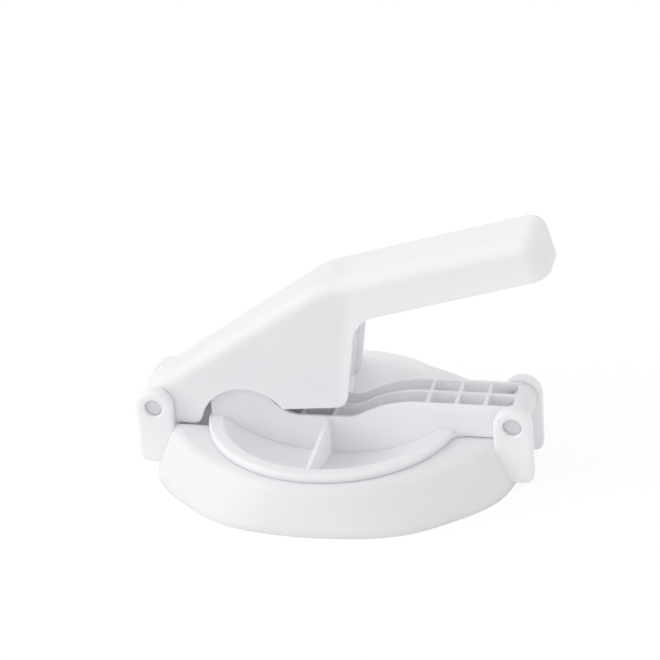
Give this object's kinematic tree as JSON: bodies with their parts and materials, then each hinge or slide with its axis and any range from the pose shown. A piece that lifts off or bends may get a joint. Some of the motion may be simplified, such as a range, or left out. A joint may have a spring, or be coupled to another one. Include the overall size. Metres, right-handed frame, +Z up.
{
  "type": "dumpling wrapper press",
  "caption": "Hand press that flattens dough into a round dumpling wrapper: shallow bowl base, hinged dish plate with a spine beam, and a lever handle that presses it down.",
  "frame": {"origin": "centre of the face the base stands on, midway between the two hinge pins", "axes": "+X from the handle's hinge to the plate's hinge, +Y across the press towards the far side, +Z up"},
  "size_m": [0.2068, 0.1508, 0.1306],
  "materials": {
    "white_plastic": "satin",
    "pin_plastic": "satin"
  },
  "bodies": {
    "base_body": {"base": "white_plastic", "handle_hinge_pin": "pin_plastic", "plate_hinge_pin": "pin_plastic"},
    "lever": {"lever_handle": "white_plastic"},
    "plate": {"press_plate": "white_plastic"}
  },
  "joints": [
    {"name": "lever_pivot", "type": "hinge", "parent": "base_body", "child": "lever", "pos_m": [-0.089, 0, 0.032], "axis": [0, -1, 0], "range_deg": [0, 155]},
    {"name": "plate_hinge", "type": "hinge", "parent": "base_body", "child": "plate", "pos_m": [0.089, 0, 0.032], "axis": [0, 1, 0], "range_deg": [0, 52.7]}
  ],
  "couplings": [
    {"joint": "plate_hinge", "follows": "lever_pivot", "ratio": 0.34}
  ]
}
